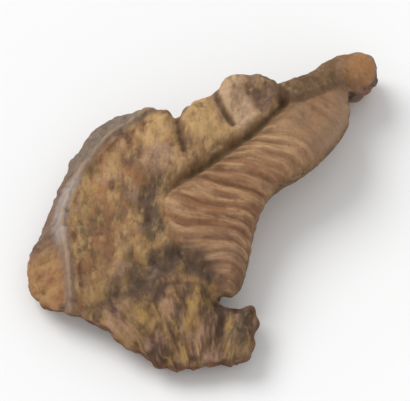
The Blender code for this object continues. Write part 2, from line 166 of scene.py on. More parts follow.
# Outline of the slice, clockwise from the lower left tip of the cap.
CURVE_STEPS = 6
STRETCHES = {
    "skin": [
        (-16.5, -8.1), (-16.6, -5.2), (-15.6, -1.8), (-14.4, 1.3), (-13.2, 4.3), (-11.3, 7.0),
        (-8.9, 8.3), (-6.4, 8.3), (-3.7, 7.8), (-2.6, 7.3), (-1.4, 8.5), (0.2, 9.1),
        (1.3, 9.9), (2.2, 10.9), (3.6, 11.4), (5.3, 11.4), (6.5, 10.9), (7.2, 10.3),
    ],
    "margin": [
        (8.4, 11.0), (10.0, 12.1), (11.5, 13.8), (13.2, 15.1), (15.1, 15.6), (16.3, 15.0),
        (16.4, 13.4), (15.7, 12.1), (14.6, 11.2), (13.5, 10.9),
    ],
    "pores": [
        (13.7, 9.2), (13.4, 7.4), (12.5, 5.5), (11.1, 3.8), (9.2, 2.3), (7.0, 1.0), (5.4, -0.7),
        (4.5, -3.0), (3.9, -5.8), (3.3, -7.9), (2.4, -8.9),
    ],
    "notch": [(1.5, -8.8), (1.0, -9.2), (1.6, -9.8), (3.0, -10.0), (4.1, -9.6), (4.6, -10.0)],
    "torn": [
        (4.6, -11.3), (4.4, -13.0), (3.8, -14.3), (2.6, -14.9), (0.9, -14.8), (-1.4, -15.1),
        (-3.8, -15.2), (-5.6, -14.2), (-7.9, -12.9), (-10.3, -11.3), (-12.6, -10.2),
        (-15.1, -9.5),
    ],
}

# Lines on the cut face.
SKIN_LINE = [
    (-12.6, -10.2), (-12.9, -6.0), (-13.5, -2.7), (-13.2, 0.0), (-12.2, 2.4), (-10.5, 4.7),
    (-8.5, 6.3), (-6.4, 7.2), (-4.0, 8.4),
]
GROOVE_LINE = [
    (-2.6, -4.9), (-3.8, -3.1), (-4.4, -1.4), (-3.8, 0.1), (-2.0, 1.3), (0.7, 2.8), (3.3, 4.6),
    (5.5, 6.4), (7.3, 8.2), (8.1, 10.6),
]
LOBE_LINES = [
    [(-2.6, 8.4), (-2.6, 6.4), (-2.1, 4.0)],
    [(0.7, 10.0), (1.3, 8.1), (2.5, 6.3)],
    [(4.3, 12.0), (4.1, 9.8), (4.9, 8.0)],
]
LOBE_CREASES = (1.0, 1.0, 0.3)
MARGIN_LINE = [(8.5, 10.1), (10.5, 11.4), (12.7, 12.7), (15.0, 13.1)]
HOLLOW_LINE = [(-4.4, 1.1), (-5.3, 0.1), (-5.3, -1.3), (-4.7, -3.1)]
STEM_LINE = [
    (-12.5, -10.4), (-9.6, -9.3), (-7.2, -8.3), (-5.6, -6.8), (-3.4, -5.5), (-0.9, -6.0),
    (0.6, -7.6), (1.4, -9.2), (3.0, -9.6), (6.0, -9.4),
]
STEM_SPLIT = [(1.0, -9.7), (1.4, -10.9), (1.3, -12.4)]

# Points on the cut face.
TUBE_TURN = (5.8, 1.4)
TUBE_AXIS = (0.66, 0.75)
TUBE_TURN_RANGE = (1.5, 7.0)
TUBE_TURN_SHIFT = 0.6
TUBE_SLOPE = 0.22
TUBE_TURN_RADIUS = 6.0
FIBRE_MEET = (0.5, -22.0)
FIBRE_SPREAD = 12.0
FIBRE_STRETCH = 0.4
KNOB = (-2.0, -10.4)
BAND_END = (2.6, -8.2)
FEET = [((-13.6, 3.6), 3.2), ((1.6, -13.2), 3.6), ((14.6, 13.2), 3.4)]
FOOT_FLAT = 0.3
CLEARANCE = 0.45

# Spots that differ in colour: centre and reach.
FLESH_SPOTS = {
    "pale_crown": ((-5.2, 6.2), 2.2),
    "pink_flesh": ((-4.6, 3.4), 2.0),
    "olive_flesh": ((-10.8, -2.4), 2.6),
}
SPOTS = {
    "red_lines": ((-1.4, -2.6), 2.4),
    "tube_foot": ((3.0, -6.5), 4.0),
    "pale_tubes": ((6.8, 4.6), 3.4),
    "purple_streak": ((-7.0, 3.4), 1.4),
    "margin_tip": ((15.3, 12.9), 2.8),
    "skin_tip": ((-15.2, -7.6), 4.2),
    "lilac_sheen_skin": ((-13.6, -0.6), 4.2),
    "olive_skin": ((-9.6, 7.0), 4.4),
}
# Spots of painted shade where the stem meets the flesh and tubes: centre and reach.
JUNCTION_SHADE_SPOT = ((-4.0, -7.6), 6.5)
WEDGE_SHADE_SPOT = ((-6.0, -8.3), 1.8)

# Bands that differ in colour, some of them painted shade: widths, and where two of them begin.
WALL_BLEND = 0.8
GROOVE_SIDE_WIDTH = 1.25
RIDGE_WIDTH = 0.6
UNDER_RIDGE_GAP = 1.0
UNDER_RIDGE_WIDTH = 0.25
JUNCTION_SHADE_WIDTH = 1.5
# Width of the painted shade in the hollow.
HOLLOW_SHADE_WIDTH = 1.3
PORE_RIM_WIDTH = 0.9
TORN_RIM_WIDTH = 0.7
LOBE_BLEND = (-1.2, 0.5)
LOBES_BEGIN = (4.6, 6.4)
LOBES_SLOPE = 0.2
RIGHT_LOBE_BEGINS = (0.8, 1.8)

# Colours as they look on a screen, 0 to 255.
FLESH = (138, 107, 76)
FLESH_OCHRE = (162, 130, 86)
FLESH_ORANGE = (156, 110, 74)
FLESH_OLIVE = (108, 87, 58)
FLESH_PINK = (160, 127, 110)
FLESH_STREAK = (110, 78, 60)
FLESH_SPOT = (86, 62, 50)
FLESH_SPECK = (184, 149, 102)
CROWN = (200, 162, 112)
FIRST_LOBE = (190, 154, 106)
SECOND_LOBE = (196, 164, 130)
THIRD_LOBE = (100, 78, 62)
# Painted shade in the hollow of the flesh.
HOLLOW_SHADE = (86, 73, 60)
# Painted shade in the groove between flesh and tubes, and beside it, over an olive brown.
GROOVE_OLIVE_SHADE = (92, 72, 44)
GROOVE_SIDE_SHADE = (106, 77, 50)
# Painted shade in the creases between the lobes.
CREASE_SHADE = (104, 74, 56)
TUBE = (140, 100, 70)
TUBE_LIGHT = (180, 143, 106)
TUBE_STREAK = (188, 150, 110)
TUBE_GREY = (141, 112, 86)
TUBE_LOW = (138, 105, 80)
TUBE_GAP = (112, 76, 56)
TUBE_RED = (128, 68, 54)
# Painted highlight along the rim of the pores.
TUBE_RIM_HIGHLIGHT = (164, 136, 110)
PORE = (104, 82, 58)
PORE_LIGHT = (138, 108, 78)
STEM_DARK = (92, 68, 48)
STEM_LIGHT = (146, 113, 78)
STEM_OCHRE = (170, 135, 76)
STEM_PINK = (164, 128, 110)
# Dark stem fibres, and painted shade in the stem's split.
STEM_SPLINTER_AND_SHADE = (74, 52, 42)
STEM_LOBE = (94, 77, 60)
# Painted shade between the folds over the stem's top, and painted highlight on them.
ARCH_SHADE = (78, 60, 50)
ARCH_HIGHLIGHT = (124, 97, 76)
# Painted shade where the stem meets the flesh and the tube layer.
JUNCTION_SHADE = (80, 64, 54)
MARGIN_OLIVE = (98, 76, 52)
MARGIN_LIGHT = (122, 94, 66)
MARGIN_ORANGE = (160, 114, 72)
SKIN_DARK = (84, 64, 52)
SKIN_BROWN = (118, 92, 72)
SKIN_BLOOM = (126, 110, 100)
SKIN_TAN = (120, 91, 69)
SKIN_ORANGE = (150, 107, 68)
SKIN_YELLOW = (166, 128, 82)
SKIN_RED = (136, 84, 56)
SKIN_GREY = (122, 110, 96)
SKIN_SPOT = (72, 50, 38)
RIDGE_TAN = (136, 110, 92)
# Lilac grey of the skin's cut edge, with a painted sheen.
RIDGE_LILAC_SHEEN = (158, 146, 140)
RIDGE_OLIVE = (118, 106, 92)
UNDER_RIDGE = (96, 62, 46)
TORN_RIM = (96, 58, 40)
# Painted highlight laid on the raised points of the relief.
HIGH_POINT_HIGHLIGHT = (214, 180, 140)

# Surface of the material: sizes and depth in millimetres.
ROUGHNESS = 0.74
ROUGHNESS_RISE = 0.2
SKIN_GLOSS = 0.28
SPECULAR = 0.3
FINE_GRAIN = 0.2
COARSE_GRAIN = 0.45
GRAIN_DEPTH = 0.09
GRAIN_STRENGTH = 0.8

# Camera, light and floor, in degrees and millimetres; the floor's size is in metres.
ELEVATION = 61.0
FRAME_WIDTH = 38.5
LENS = 300.0
SENSOR = 36.0
NEAREST_SEEN = 10.0
SUN_DIRECTION = (-0.55, 0.4, 0.8)
SUN_ANGLE = 38.0
SUN_STRENGTH = 1.6
SKY_STRENGTH = 0.7
FLOOR_SIZE = 2.0
FLOOR_SHADE = 0.9
FLOOR_ROUGHNESS = 0.9
FLOOR_SPECULAR = 0.1


def smoothstep(low, high, value):
    """Rise from 0 at low to 1 at high."""
    share = np.clip((value - low) / (high - low), 0.0, 1.0)
    return share * share * (3.0 - 2.0 * share)


def bell(distance, width):
    """1 at no distance, falling off over the width."""
    return np.exp(-((distance / width) ** 2))


def curve_through(points, steps, closed=False):
    """Points on a Catmull-Rom curve through the given points."""
    knots = np.array(points, dtype=float)
    if closed:
        knots = np.vstack([knots[-1], knots, knots[0], knots[1]])
    else:
        knots = np.vstack([2 * knots[0] - knots[1], knots, 2 * knots[-1] - knots[-2]])
    curve = []
    for a, b, c, d in zip(knots, knots[1:], knots[2:], knots[3:]):
        for step in range(steps):
            t = step / steps
            curve.append(
                0.5 * (2 * b + (c - a) * t + (2 * a - 5 * b + 4 * c - d) * t ** 2
                       + (3 * b - a - 3 * c + d) * t ** 3))
    if not closed:
        curve.append(knots[-2])
    return np.array(curve)


def drawn(points, closed=False):
    """A drawn line as a smooth curve, stretched to its true length up the slice."""
    curve = curve_through(points, CURVE_STEPS, closed)
    curve[:, 1] *= SIDE_STRETCH
    return curve


def place(point):
    """A drawn point at its true place."""
    return np.array([point[0], point[1] * SIDE_STRETCH])


def outline_curve():
    """The closed outline, and the same curve cut into its named stretches."""
    points = [point for stretch in STRETCHES.values() for point in stretch]
    outline = drawn(points, closed=True)
    pieces = {}
    start = 0
    for name, stretch in STRETCHES.items():
        end = start + len(stretch) * CURVE_STEPS
        pieces[name] = outline[np.arange(start, end + 1) % len(outline)]
        start = end
    return outline, pieces


def away_from(plan, point):
    """Distance of every point from a drawn point."""
    return np.linalg.norm(plan - place(point), axis=1)


def spot(anatomy, where):
    """Nearness to a place on the cut face, from 1 at its centre."""
    centre, reach = where
    return bell(away_from(anatomy.plan, centre), reach)


def nearest(plan, line):
    """Distance to a line, the number of the nearest piece, and which side: left is positive."""
    best = np.full(len(plan), np.inf)
    piece = np.zeros(len(plan), dtype=int)
    side = np.ones(len(plan))
    for number, (start, end) in enumerate(zip(line[:-1], line[1:])):
        along = end - start
        offset = plan - start
        share = np.clip(offset @ along / (along @ along), 0.0, 1.0)
        gap = offset - share[:, None] * along
        distance = np.hypot(gap[:, 0], gap[:, 1])
        closer = distance < best
        best[closer] = distance[closer]
        piece[closer] = number
        turn = along[0] * offset[:, 1] - along[1] * offset[:, 0]
        side[closer] = np.sign(turn[closer])
    return best, piece, side


def lumps(points, size, seed):
    """Smooth noise between about -1 and 1, with lumps of the given size."""
    shift = Vector((seed * 17.3, seed * 5.9, seed * 11.1))
    return np.array([noise.noise(Vector(point) / size + shift) for point in points])


def creases(points, size, seed):
    """Noise with sharp valleys between rounded folds, even about 0."""
    return np.abs(lumps(points, size, seed)) * 1.8 - 0.4


def cells(points, size, seed):
    """Distance from the middle of the nearest random cell, about 0 to 1."""
    shift = Vector((seed * 7.1, seed * 13.7, seed * 3.3))
    return np.array([noise.voronoi(Vector(point) / size + shift)[0][0] for point in points])


def coordinates(mesh):
    """A mesh's points as rows of x, y, z."""
    flat = np.empty(len(mesh.vertices) * 3)
    mesh.vertices.foreach_get("co", flat)
    return flat.reshape(-1, 3)


def move_to(mesh, points):
    """Give a mesh's points new places."""
    mesh.vertices.foreach_set("co", points.ravel())
    mesh.update()


def normals(mesh):
    """Directions straight out of the surface at a mesh's points."""
    flat = np.empty(len(mesh.vertices) * 3)
    mesh.vertex_normals.foreach_get("vector", flat)
    return flat.reshape(-1, 3)


def evaluated(item):
    """The mesh of an object with its modifiers applied; the object itself is removed."""
    bpy.context.collection.objects.link(item)
    depsgraph = bpy.context.evaluated_depsgraph_get()
    mesh = bpy.data.meshes.new_from_object(item.evaluated_get(depsgraph))
    bpy.data.objects.remove(item)
    return mesh


def flat_blank():
    """The outline filled, extruded and rounded, as a mesh of even cells, in millimetres."""
    outline, _ = outline_curve()
    curve = bpy.data.curves.new("outline", "CURVE")
    curve.dimensions = "2D"
    curve.fill_mode = "BOTH"
    curve.bevel_depth = EDGE_ROUNDING
    curve.bevel_resolution = 4
    curve.offset = -EDGE_ROUNDING
    curve.extrude = THICKNESS / 2 - EDGE_ROUNDING
    spline = curve.splines.new("POLY")
    spline.points.add(len(outline) - 1)
    for corner, (x, y) in zip(spline.points, outline):
        corner.co = (x, y, 0.0, 1.0)
    spline.use_cyclic_u = True
    blank = bpy.data.objects.new("blank", curve)
    remesh = blank.modifiers.new("even cells", "REMESH")
    remesh.mode = "VOXEL"
    remesh.voxel_size = FINE_CELL
    soften = blank.modifiers.new("soft edges", "SMOOTH")
    soften.factor = 0.5
    soften.iterations = SOFTENING
    return evaluated(blank)


class Anatomy:
    """What every point of the flat blank belongs to."""

    def __init__(self, points):
        self.points = points
        self.plan = points[:, :2]
        self.level = points[:, 2] / (THICKNESS / 2)
        self.top = smoothstep(*FACE_LEVELS, self.level)
        self.bottom = smoothstep(*FACE_LEVELS, -self.level)
        self.faces = np.maximum(self.top, self.bottom)
        self.read_edge()
        self.read_lines()

    def read_edge(self):
        """Depth inside the outline and inside each stretch of it, and the way out."""
        outline, pieces = outline_curve()
        closed = np.vstack([outline, outline[:1]])
        self.depth, piece, _ = nearest(self.plan, closed)
        along = np.diff(closed, axis=0)
        along = sum(np.roll(along, shift, axis=0) for shift in (-3, -2, -1, 0, 1, 2, 3))
        along /= np.linalg.norm(along, axis=1)[:, None]
        self.outward = np.stack([-along[piece, 1], along[piece, 0]], axis=1)
        self.edge = {name: nearest(self.plan, line)[0] for name, line in pieces.items()}

    def read_lines(self):
        """Distances to the lines on the cut face, and the regions between them."""
        self.skin_gap, _, self.skin_side = nearest(self.plan, drawn(SKIN_LINE))
        self.beyond_skin = np.where(self.skin_side > 0, self.skin_gap, 0.0)
        self.groove_gap, piece, groove_side = nearest(self.plan, drawn(GROOVE_LINE))
        self.stem_gap, _, stem_side = nearest(self.plan, drawn(STEM_LINE))
        self.split_gap = nearest(self.plan, drawn(STEM_SPLIT))[0]
        gaps = np.array([nearest(self.plan, drawn(line))[0] for line in LOBE_LINES])
        self.lobe_gap = gaps.min(axis=0)
        self.creased = np.array(LOBE_CREASES) @ bell(gaps, LOBE_CREASE_WIDTH)
        self.hollow_gap = nearest(self.plan, drawn(HOLLOW_LINE))[0]
        self.margin_gap = nearest(self.plan, drawn(MARGIN_LINE))[0]
        self.margin = smoothstep(0.0, MARGIN_BLEND, MARGIN_HALF_WIDTH - self.margin_gap)
        self.stem = smoothstep(-STEM_BLEND, STEM_BLEND, -stem_side * self.stem_gap)
        right_of_groove = smoothstep(-0.1, 0.7, -groove_side * self.groove_gap)
        self.tubes = right_of_groove * (1.0 - self.stem) * (1.0 - self.margin)
        self.flesh = (1.0 - self.tubes) * (1.0 - self.stem) * (1.0 - self.margin)
        self.open_groove = smoothstep(*GROOVE_OPENS, piece) * (1.0 - self.margin)
        self.groove = bell(self.groove_gap, GROOVE_WIDTH) * self.open_groove


def tube_turn(plan):
    """Where a point lies seen from the tubes' turn: offset, how far ahead, and share of the arcs."""
    offset = plan - place(TUBE_TURN)
    ahead = offset @ np.array(TUBE_AXIS)
    return offset, ahead, smoothstep(*TUBE_TURN_RANGE, ahead)


def tube_phase(plan):
    """Which tube a point lies in: straight across low down, in arcs round the cap margin."""
    offset, _, arcs = tube_turn(plan)
    straight = offset[:, 1] + TUBE_SLOPE * offset[:, 0]
    in_arcs = np.linalg.norm(offset, axis=1) - TUBE_TURN_SHIFT
    return ((1.0 - arcs) * straight + arcs * in_arcs) / TUBE_PITCH


def tube_waves(anatomy):
    """The tube number of every point, with the ribs' wandering."""
    return tube_phase(anatomy.plan) + TUBE_WANDER * lumps(anatomy.points, TUBE_WANDER_SIZE, 3)


def along_tubes(anatomy, tubes):
    """Coordinates in the tube layer: across the tubes, along them, and up, in millimetres."""
    offset, ahead, arcs = tube_turn(anatomy.plan)
    aside = TUBE_AXIS[1] * offset[:, 0] - TUBE_AXIS[0] * offset[:, 1]
    around = np.arctan2(aside, ahead) * TUBE_TURN_RADIUS
    along = (1.0 - arcs) * offset[:, 0] + arcs * around
    return np.stack([tubes * TUBE_PITCH, along, anatomy.points[:, 2]], axis=1)


def tube_ribs(anatomy):
    """Ribs of the cut tubes, from -1 in a gap to 1 on a rib; uneven, and calm at both ends."""
    wave = np.cos(2 * math.pi * tube_waves(anatomy))
    strength = np.clip(0.7 + 1.3 * lumps(anatomy.points, TUBE_FADE_SIZE, 4), 0.1, None)
    low_end = bell(away_from(anatomy.plan, BAND_END), TUBE_CALM_REACH)
    calm = np.maximum(tube_turn(anatomy.plan)[2], low_end)
    return wave * strength * (1.0 - TUBE_CALM * calm) * anatomy.tubes


def along_fibres(anatomy):
    """Coordinates in the stem that change fast across its fibres and slowly along them."""
    offset = anatomy.plan - place(FIBRE_MEET)
    across = np.arctan2(offset[:, 0], offset[:, 1]) * FIBRE_SPREAD
    along = np.linalg.norm(offset, axis=1) * FIBRE_STRETCH
    return np.stack([across, along, anatomy.points[:, 2] * FIBRE_STRETCH], axis=1)


def flesh_height(anatomy, depth):
    """The cap's flesh: sunk between skin and groove, hollowed, and creased into lobes."""
    inland = smoothstep(0.3, FLESH_SINK_REACH, anatomy.depth)
    from_skin = smoothstep(0.4, FLESH_SINK_REACH, anatomy.skin_gap)
    height = -FLESH_SINK * anatomy.flesh * inland * from_skin
    height -= depth * GROOVE_DEPTH * anatomy.groove
    hollow = bell(anatomy.hollow_gap, HOLLOW_WIDTH)
    height -= depth * HOLLOW_DEPTH * hollow * (1.0 - anatomy.tubes)
    height -= depth * LOBE_CREASE * anatomy.creased * anatomy.flesh
    swell = smoothstep(0.3, 1.6, anatomy.lobe_gap) * bell(anatomy.lobe_gap, LOBE_WIDTH)
    return height + LOBE_SWELL * anatomy.flesh * swell


def skin_height(anatomy):
    """The skin's raised edge."""
    return SKIN_RIDGE * bell(anatomy.skin_gap, SKIN_RIDGE_WIDTH)


def skin_fall(anatomy):
    """How much lower the outer skin lies beyond its ridge; less at the far side."""
    far = smoothstep(*SKIN_FALL_FADES, anatomy.plan[:, 1])
    slope = SKIN_FALL * (1.0 - far) + SKIN_FALL_FAR * far
    return np.minimum(slope * anatomy.beyond_skin, SKIN_DROP)


def tube_height(anatomy, ribs):
    """The tube layer: crowned across, and ribbed along its tubes."""
    inside = np.minimum(anatomy.groove_gap, 1.6 * anatomy.depth)
    crown = TUBE_CROWN * anatomy.tubes * smoothstep(0.0, TUBE_CROWN_REACH, inside)
    return crown + TUBE_RELIEF * ribs * smoothstep(0.2, 1.2, anatomy.groove_gap)


def margin_height(anatomy, depth):
    """The cap margin, rolled over the end of the tube layer."""
    across = np.clip(anatomy.margin_gap / MARGIN_HALF_WIDTH, 0.0, 1.0)
    return depth * MARGIN_ROLL * np.sqrt(1.0 - across ** 2) * anatomy.margin


def knob_arcs(anatomy):
    """Uneven folds that arch over the top of the stem, from -1 between them to 1 on them."""
    away = away_from(anatomy.plan, KNOB)
    above = smoothstep(0.0, 1.6, anatomy.plan[:, 1] - place(KNOB)[1])
    wander = KNOB_ARC_WANDER * lumps(anatomy.points, KNOB_ARC_WANDER_SIZE, 8)
    wave = np.cos(2 * math.pi * (away / KNOB_ARC_PITCH + wander))
    return wave * bell(away, KNOB_ARC_REACH) * above


def knob_height(anatomy):
    """The rounded top of the stem, and the folds that arch over it."""
    knob = bell(away_from(anatomy.plan, KNOB), KNOB_REACH)
    return KNOB_SWELL * knob + KNOB_ARC * knob_arcs(anatomy)


def stem_height(anatomy, depth):
    """The stem: sunk behind a trench, split in two, and torn along its fibres."""
    height = -STEM_SINK * anatomy.stem
    trench = bell(anatomy.stem_gap, STEM_TRENCH_WIDTH) * (1.0 - 0.5 * anatomy.tubes)
    height -= depth * STEM_TRENCH * trench
    split = bell(anatomy.split_gap, STEM_SPLIT_WIDTH) * anatomy.stem
    height -= depth * STEM_SPLIT_DEPTH * split
    height += depth * knob_height(anatomy) * anatomy.stem
    fibres = lumps(along_fibres(anatomy), FIBRE_SIZE, 5) + lumps(anatomy.points, FRAY_SIZE, 6)
    return height + 0.7 * STEM_RELIEF * fibres * anatomy.stem


def shrivelled(anatomy, seed):
    """Uneven shrinkage: long waves all over, and creases in the flesh."""
    puckers = creases(anatomy.points, PUCKER_SIZE, seed + 1)
    puckers += 0.5 * creases(anatomy.points, PUCKER_SIZE / 2, seed + 2)
    return SHRIVEL * (lumps(anatomy.points, SHRIVEL_SIZE, seed) + puckers * anatomy.flesh)


def cut_face(anatomy, ribs, depth, seed):
    """Height of a cut face over the plain blank; depth scales its deep forms."""
    height = flesh_height(anatomy, depth) + skin_height(anatomy)
    height += tube_height(anatomy, ribs) + margin_height(anatomy, depth)
    return height + stem_height(anatomy, depth) + shrivelled(anatomy, seed)


def edge_bulge(anatomy, ribs):
    """How far the edge stands out: skin wrinkles, tube mouths and the torn stem end."""
    near = {name: smoothstep(EDGE_REACH, 0.0, gap) for name, gap in anatomy.edge.items()}
    skin = np.maximum(near["skin"], near["margin"])
    bulge = SKIN_WRINKLES * creases(anatomy.points, SKIN_WRINKLE_SIZE, 31) * skin
    bulge += 0.5 * TUBE_RELIEF * ribs * near["pores"]
    upright = anatomy.points * (1.0, 1.0, TORN_UPRIGHT)
    return bulge + TORN_RELIEF * lumps(upright, TORN_SIZE, 33) * near["torn"] * (1.0 - skin)


def raise_relief(anatomy):
    """The flat slice with its relief, in millimetres."""
    ribs = tube_ribs(anatomy)
    points = anatomy.points.copy()
    points[:, 2] += anatomy.top * cut_face(anatomy, ribs, 1.0, 7)
    points[:, 2] -= anatomy.bottom * cut_face(anatomy, ribs, BACK_SHARE, 11)
    points[:, 2] -= (1.0 + anatomy.level) / 2 * skin_fall(anatomy)
    points[:, :2] += anatomy.outward * edge_bulge(anatomy, ribs)[:, None]
    return points


def middle_height(anatomy):
    """Height of the middle of the slice: leaning, arched, and curled down at skin and margin."""
    plan = anatomy.plan
    height = math.tan(math.radians(LEAN)) * plan[:, 1]
    curl = smoothstep(SKIN_CURL_REACH, 0.0, anatomy.depth)
    height -= SKIN_CURL * curl * bell(away_from(plan, SKIN_CURL_PLACE), SKIN_CURL_SPREAD)
    out = (plan - place(MARGIN_DROOP_START)) @ np.array(TUBE_AXIS)
    height -= MARGIN_DROOP * smoothstep(0.0, MARGIN_DROOP_REACH, out)
    return height + BELLY * bell(away_from(plan, BELLY_PLACE), BELLY_SPREAD)


def bend(points, anatomy):
    """The slice as drying bends it, with its near edge leaning in underneath."""
    torn = smoothstep(STEM_THINNING_REACH, 0.0, anatomy.edge["torn"])
    bent = points.copy()
    bent[:, 2] = middle_height(anatomy) + points[:, 2] * (1.0 - STEM_THINNING * torn)
    under = np.clip(UNDERCUT_LEVEL - points[:, 2], 0.0, None)
    end = bell(away_from(anatomy.plan, BAND_END), END_SPREAD)
    end *= smoothstep(0.8, 0.2, anatomy.stem)
    faces_near = smoothstep(-0.1, 0.6, -anatomy.outward[:, 1])
    by_notch = smoothstep(0.0, 2.5, anatomy.edge["notch"])
    lean_in = faces_near * by_notch * smoothstep(EDGE_REACH, 0.0, anatomy.depth)
    bent[:, :2] -= anatomy.outward * (UNDERCUT * under * lean_in * (1.0 - end))[:, None]
    bent[:, 1] += END_SLANT * under * end
    bent[:, 2] += END_LIFT * under * end
    return bent


def lay_down(points, anatomy):
    """Lower the slice onto its three low spots, and keep the rest of the underside clear."""
    low = []
    reach = np.zeros(len(points))
    for centre, radius in FEET:
        away = away_from(anatomy.plan, centre)
        near = np.where(away < radius)[0]
        low.append(points[near[np.argmin(points[near, 2])]])
        reach = np.maximum(reach, smoothstep(radius, 0.6 * radius, away))
    normal = np.cross(low[1] - low[0], low[2] - low[0])
    ground = low[0][2] - ((points[:, :2] - low[0][:2]) @ normal[:2]) / normal[2]
    laid = points.copy()
    laid[:, 2] -= ground + FOOT_FLAT
    lowest = CLEARANCE * (1.0 - reach) - FOOT_FLAT * reach
    laid[:, 2] = np.maximum(laid[:, 2], lowest)
    return laid


def wall_shares(anatomy):
    """How much of each point belongs to the wall of the cap skin, the pores and the torn stem."""
    gaps = {
        "skin": np.minimum(anatomy.edge["skin"], anatomy.edge["margin"]),
        "pores": anatomy.edge["pores"],
        "torn": np.minimum(anatomy.edge["torn"], anatomy.edge["notch"]),
    }
    closest = np.min(list(gaps.values()), axis=0)
    weights = {name: bell(gap - closest, WALL_BLEND) for name, gap in gaps.items()}
    total = sum(weights.values())
    return {name: (1.0 - anatomy.faces) * weight / total for name, weight in weights.items()}


def flesh_texture(anatomy):
    """Folds and pits of the dried flesh."""
    upward = anatomy.points * (1.0, FOLD_STRETCH, 1.0)
    folds = creases(upward, FOLD_SIZE, 41) + 0.5 * creases(upward, FOLD_SIZE / 2, 42)
    pits = smoothstep(0.35, 0.7, lumps(anatomy.points, PIT_SIZE, 43))
    return FOLD_DEPTH * folds - PIT_DEPTH * pits


def tube_texture(anatomy, tubes):
    """Split lines between the tubes, finer tubes on the ribs, and torn strands."""
    flow = along_tubes(anatomy, tubes) * (1.0, TUBE_STRETCH, 0.5)
    split = smoothstep(-0.55, -0.95, np.cos(2 * math.pi * tubes))
    broken = smoothstep(-0.1, 0.4, lumps(flow, 1.2, 51))
    fine = np.cos(4 * math.pi * tubes + 1.3) * (0.6 + lumps(anatomy.points, 1.1, 52))
    strands = creases(flow, 0.8, 53) + 0.6 * lumps(flow, 0.45, 54)
    return TUBE_FINE_DEPTH * fine - TUBE_LINE_DEPTH * split * broken + TUBE_STRANDS * strands


def skin_texture(anatomy):
    """Wrinkles of the dried cap skin."""
    coarse = creases(anatomy.points, WRINKLE_SIZE, 61)
    return WRINKLE_DEPTH * (coarse + 0.4 * creases(anatomy.points, WRINKLE_SIZE * 0.45, 62))


def pore_texture(anatomy):
    """Open tube mouths along the edge."""
    return PORE_DEPTH * (smoothstep(0.05, 0.5, cells(anatomy.points, PORE_SIZE, 71)) - 0.6)


def stem_texture(anatomy):
    """Fibres of the stem, and the frayed bits between them."""
    strands = creases(along_fibres(anatomy), FIBRE_WIDTH, 81)
    frayed = lumps(anatomy.points, FRAY_WIDTH, 82)
    return FIBRE_DEPTH * (0.7 * strands + 0.8 * frayed)


def fine_relief(anatomy, tubes):
    """How far every point stands out of the bent slice."""
    outer = smoothstep(0.1, 0.6, anatomy.beyond_skin) * anatomy.top
    walls = wall_shares(anatomy)
    relief = flesh_texture(anatomy) * anatomy.flesh * anatomy.faces * (1.0 - outer)
    calm = 1.0 - 0.5 * tube_turn(anatomy.plan)[2]
    relief += tube_texture(anatomy, tubes) * calm * anatomy.tubes * anatomy.faces
    relief += skin_texture(anatomy) * np.maximum(walls["skin"], outer)
    relief += 0.8 * skin_texture(anatomy) * anatomy.margin * anatomy.faces
    relief += pore_texture(anatomy) * walls["pores"]
    relief += stem_texture(anatomy) * np.maximum(anatomy.stem * anatomy.faces, walls["torn"])
    lip = SKIN_LIP * bell(anatomy.skin_gap, SKIN_LIP_WIDTH) * anatomy.top
    return relief + lip * (0.8 + 0.6 * lumps(anatomy.points, 0.9, 91))


def fitted(points, box):
    """Millimetre points moved into the solid's box, and cut level with the floor."""
    low, high = np.array(box[0]), np.array(box[1])
    least, most = points.min(axis=0), points.max(axis=0)
    least[2] = 0.0
    placed = low + (points - least) * (high - low) / (most - least)
    placed[:, 2] = np.maximum(placed[:, 2], 0.0)
    return placed


def smoothed(mesh, passes):
    """A mesh's points, each drawn towards its neighbours."""
    smooth = coordinates(mesh)
    edges = np.empty(len(mesh.edges) * 2, dtype=int)
    mesh.edges.foreach_get("vertices", edges)
    first, second = edges.reshape(-1, 2).T
    count = np.bincount(edges, minlength=len(smooth))
    for _ in range(passes):
        around = [
            np.bincount(first, smooth[second, axis], len(smooth))
            + np.bincount(second, smooth[first, axis], len(smooth)) for axis in range(3)]
        smooth = 0.5 * smooth + 0.5 * np.stack(around, axis=1) / count[:, None]
    return smooth


def calm_under_edge(mesh, anatomy):
    """Smooth the lower part of the edge and the sharp tip, where the way out turns at corners."""
    lower = smoothstep(0.3, -0.3, anatomy.level)
    share = lower * smoothstep(EDGE_REACH, 0.5 * EDGE_REACH, anatomy.depth)
    share = np.maximum(share, spot(anatomy, SHARP_TIP))
    points = coordinates(mesh)
    move_to(mesh, points + share[:, None] * (smoothed(mesh, CALM_PASSES) - points))


def hollowness(mesh, passes):
    """How deep every point lies below its smoothed surroundings, in the mesh's units."""
    return np.sum((smoothed(mesh, passes) - coordinates(mesh)) * normals(mesh), axis=1)


def lobe_shares(anatomy):
    """The three lobes of flesh at the far edge, from left to right."""
    sides = []
    for line in LOBE_LINES:
        gap, _, side = nearest(anatomy.plan, drawn(line))
        sides.append(smoothstep(*LOBE_BLEND, side * gap))
    far = smoothstep(*LOBES_BEGIN, anatomy.plan[:, 1] + LOBES_SLOPE * anatomy.plan[:, 0])
    left, middle, right = sides
    return [far * left * (1.0 - middle), far * middle * (1.0 - right), far * right]


def note(mesh, name, values):
    """Keep a number or a vector for every point of a mesh, for its material."""
    if values.ndim == 1:
        mesh.attributes.new(name, "FLOAT", "POINT").data.foreach_set("value", values)
    else:
        mesh.attributes.new(name, "FLOAT_VECTOR", "POINT").data.foreach_set("vector", values.ravel())


